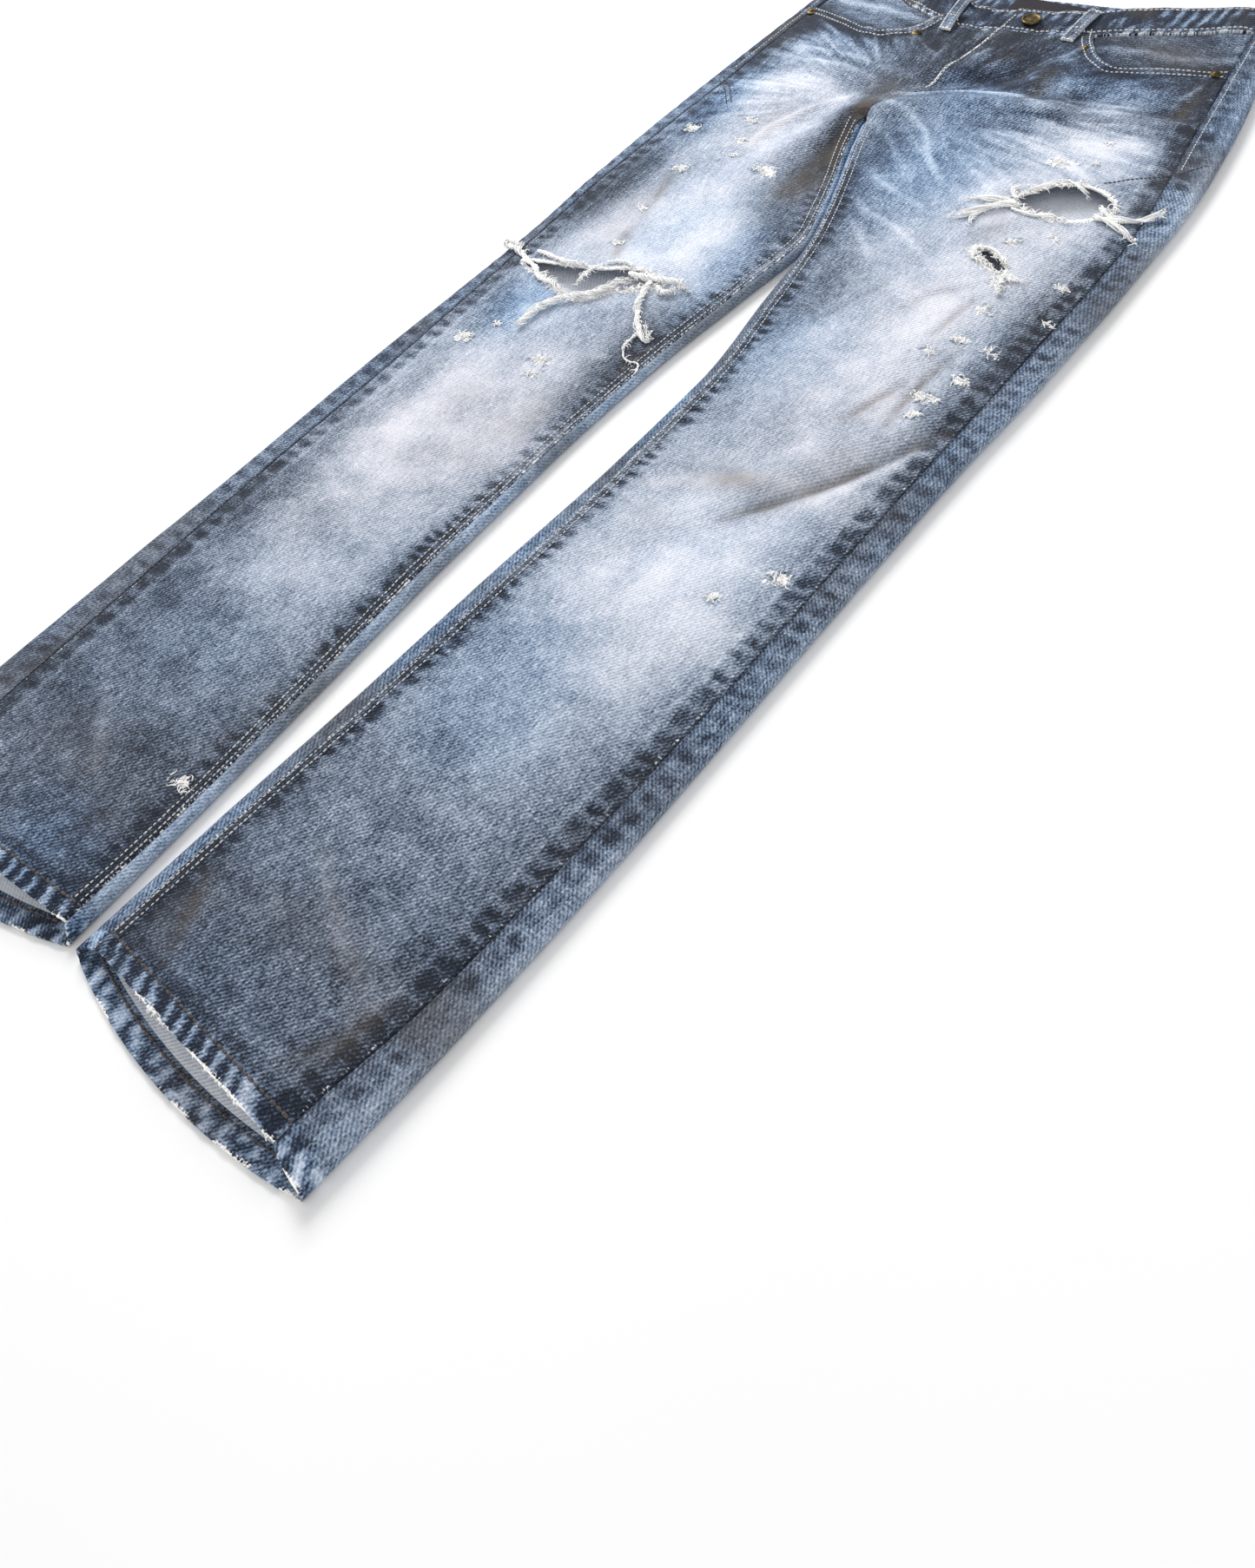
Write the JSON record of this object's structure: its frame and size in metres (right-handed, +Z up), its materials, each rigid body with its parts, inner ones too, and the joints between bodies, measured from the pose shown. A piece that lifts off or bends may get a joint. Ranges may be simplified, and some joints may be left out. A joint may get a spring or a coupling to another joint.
{
  "type": "ripped jeans",
  "caption": "Straight-leg washed denim jeans laid flat, front up, with open hems and waist, frayed rips, scoop pockets, belt loops and a metal waist button.",
  "frame": {"origin": "middle of the garment's outline, on the surface it lies on", "axes": "+Y from the hems to the waist, +Z up from the surface, +X to the wearer's left"},
  "size_m": [0.454, 1.178, 0.0236],
  "materials": {
    "denim_front": "washed and faded indigo twill",
    "denim_back": "darker indigo twill",
    "thread": "loose white cotton thread",
    "brass": "aged antique",
    "label": "plain black woven"
  },
  "bodies": {
    "root": {"front_left": "denim_front", "front_right": "denim_front", "back_left": "denim_back", "back_right": "denim_back", "pocket_facing_left": "denim_back", "pocket_facing_right": "denim_back", "waistband_front_left": "denim_front", "waistband_front_right": "denim_front", "waistband_back": "denim_back", "belt_loop_left": "denim_front", "belt_loop_right": "denim_front", "waist_button": "brass", "rivet_left_inner": "brass", "rivet_left_outer": "brass", "rivet_right_inner": "brass", "rivet_right_outer": "brass", "waist_label": "label", "fray_thigh": "thread", "fray_thigh_small": "thread", "fray_knee": "thread"}
  },
  "joints": []
}
